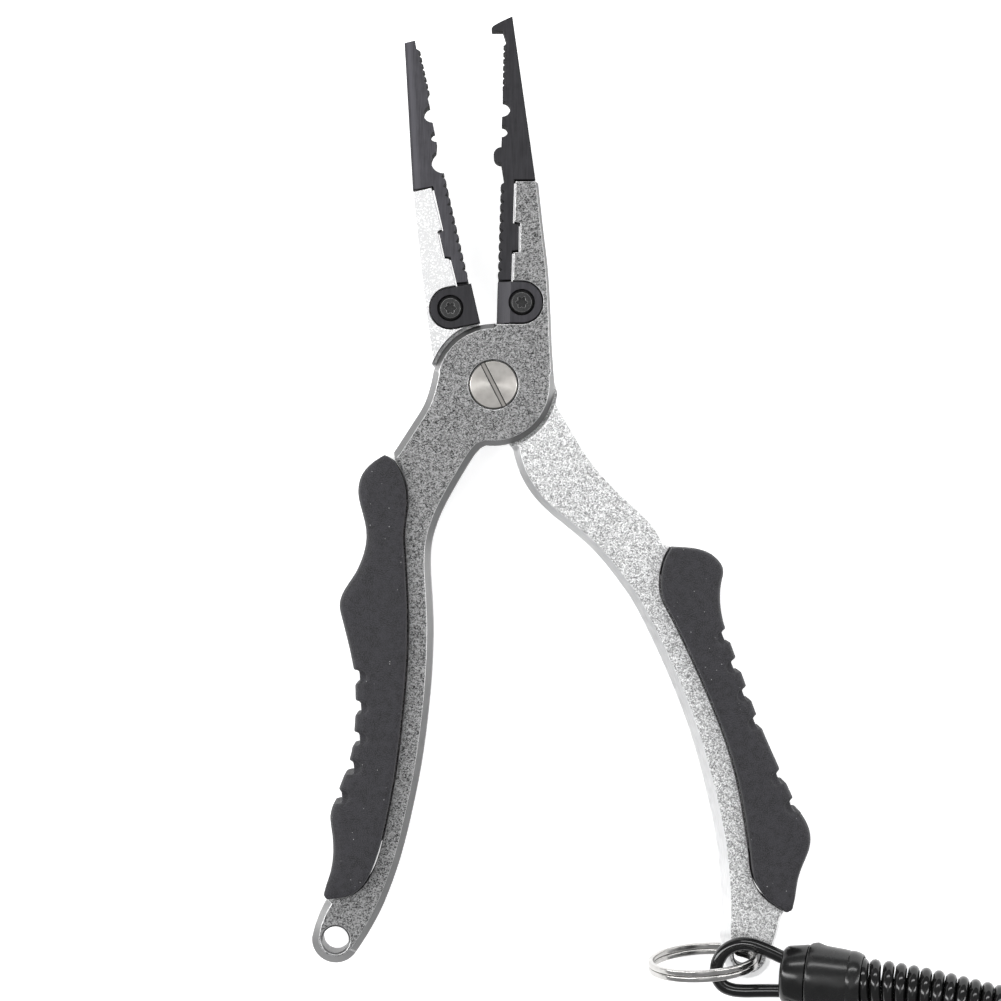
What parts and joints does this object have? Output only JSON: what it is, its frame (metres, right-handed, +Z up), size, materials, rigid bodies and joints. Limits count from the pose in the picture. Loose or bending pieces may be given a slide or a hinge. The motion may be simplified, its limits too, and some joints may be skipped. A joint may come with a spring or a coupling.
{
  "type": "fishing pliers",
  "caption": "Spring-opening aluminium fishing pliers with black steel jaws, side cutters, rubber grips, a split ring and a coiled lanyard, lying flat.",
  "frame": {"origin": "centre of the pivot nut's flat rear face, which is level with the table the pliers lie on", "axes": "+Z up out of the table, along the pivot; +Y from the pivot towards the jaws; +X to the right seen from above"},
  "size_m": [0.1853, 0.2789, 0.037],
  "materials": {
    "grey_aluminium": "bead-blasted gunmetal grey with bright chamfered edges",
    "silver_aluminium": "bead-blasted silver with bright chamfered edges",
    "black_steel": "black coated steel, finely brushed",
    "black_screws": "black oxide",
    "grip_rubber": "matte charcoal rubber",
    "pivot_steel": "turned stainless steel",
    "bronze": "plain bearing bronze",
    "spring_steel": "drawn spring wire",
    "nickel": "bright nickel plate",
    "gloss_black": "smooth gloss black",
    "sleeve_black": "satin black moulded rubber",
    "cord_black": "smooth gloss black cord"
  },
  "bodies": {
    "front": {"front_handle": "grey_aluminium", "front_jaw": "black_steel", "front_cutter": "black_steel", "front_cutter_screw": "black_screws", "front_grip": "grip_rubber", "pivot_screw": "pivot_steel", "pivot_nut": "pivot_steel", "thrust_washer": "bronze", "return_spring": "spring_steel"},
    "rear": {"rear_handle": "silver_aluminium", "rear_jaw": "black_steel", "rear_cutter": "black_steel", "rear_cutter_screw": "black_screws", "rear_grip": "grip_rubber"},
    "ring": {"split_ring": "nickel"},
    "lanyard": {"near_bail": "gloss_black", "near_plug": "gloss_black", "near_sleeve": "sleeve_black", "lanyard_coil": "cord_black", "far_sleeve": "sleeve_black", "far_plug": "gloss_black", "far_bail": "gloss_black"}
  },
  "joints": [
    {"name": "pivot", "type": "hinge", "parent": "front", "child": "rear", "pos_m": [0, 0, 0], "axis": [0, 0, -1], "range_deg": [0, 13.9], "stiffness_Nm_per_rad": 0.6, "springref_deg": -9.74, "deforming": ["return_spring"]},
    {"name": "ring_swing", "type": "hinge", "parent": "rear", "child": "ring", "pos_m": [0.05735, -0.1289, 0.0078], "axis": [0, 0, 1], "range_deg": [-18, 3]},
    {"name": "bail_lift", "type": "hinge", "parent": "ring", "child": "lanyard", "pos_m": [0.0503, -0.1308, 0.013], "axis": [0, -1, 0], "range_deg": [0, 40]}
  ]
}
